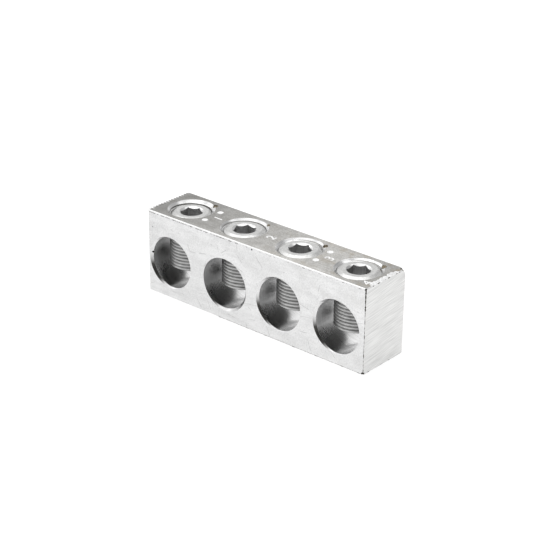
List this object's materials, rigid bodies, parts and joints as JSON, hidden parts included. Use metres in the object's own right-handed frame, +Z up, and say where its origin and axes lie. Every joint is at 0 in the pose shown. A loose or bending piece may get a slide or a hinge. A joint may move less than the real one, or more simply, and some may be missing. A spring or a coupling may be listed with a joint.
{
  "type": "earth terminal bar",
  "caption": "Solid metal earth bar with a row of round wire ports through its depth and a hex socket set screw let into the top over each port.",
  "frame": {"origin": "middle of the underside", "axes": "+X along the row of ports, +Y from the shown port mouths through to the back, +Z up towards the screws"},
  "size_m": [0.127, 0.0278, 0.041],
  "materials": {
    "bar_metal": "tin plated extrusion, sawn ends, fine scratches",
    "screw_metal": "tin plated, turned and rolled thread"
  },
  "bodies": {
    "bar": {"bar": "bar_metal"},
    "screw_1": {"set_screw_1": "screw_metal"},
    "screw_2": {"set_screw_2": "screw_metal"},
    "screw_3": {"set_screw_3": "screw_metal"},
    "screw_4": {"set_screw_4": "screw_metal"}
  },
  "joints": [
    {"name": "screw_1_feed", "type": "slide", "parent": "bar", "child": "screw_1", "axis": [0, 0, 1], "range_m": [-0.00159, 0.01746]},
    {"name": "screw_2_feed", "type": "slide", "parent": "bar", "child": "screw_2", "axis": [0, 0, 1], "range_m": [-0.00159, 0.01746]},
    {"name": "screw_3_feed", "type": "slide", "parent": "bar", "child": "screw_3", "axis": [0, 0, 1], "range_m": [-0.00317, 0.01746]},
    {"name": "screw_4_feed", "type": "slide", "parent": "bar", "child": "screw_4", "axis": [0, 0, 1], "range_m": [-0.00317, 0.01746]}
  ]
}
